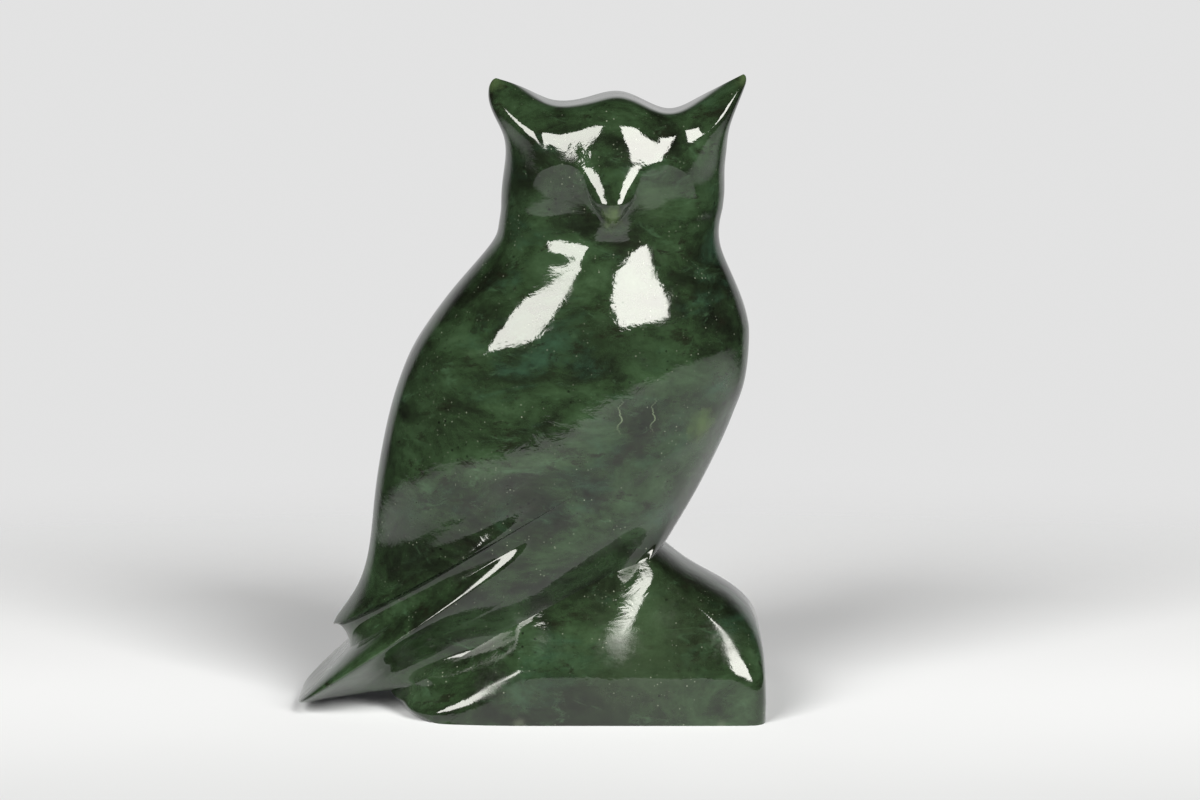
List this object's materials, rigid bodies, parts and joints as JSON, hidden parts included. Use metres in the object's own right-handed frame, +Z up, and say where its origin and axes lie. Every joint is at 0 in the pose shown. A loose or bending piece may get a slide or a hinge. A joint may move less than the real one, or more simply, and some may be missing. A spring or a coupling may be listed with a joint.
{
  "type": "owl figurine",
  "caption": "Polished green jade owl with pointed ear tufts and folded wings, seated on a flat-bottomed rock; a free-standing ornament.",
  "frame": {"origin": "on the table, in the middle of the owl's length and of its depth", "axes": "+Z up from the rock's underside to the ear tips, -Y the way the face looks, -X the way the tail points"},
  "size_m": [0.1439, 0.077, 0.1959],
  "materials": {
    "jade": "highly polished, dark green, mottled"
  },
  "bodies": {
    "root": {"rock_base": "jade", "tail": "jade", "torso": "jade", "head": "jade", "ear_tuft_left": "jade", "ear_tuft_right": "jade", "beak": "jade"}
  },
  "joints": []
}
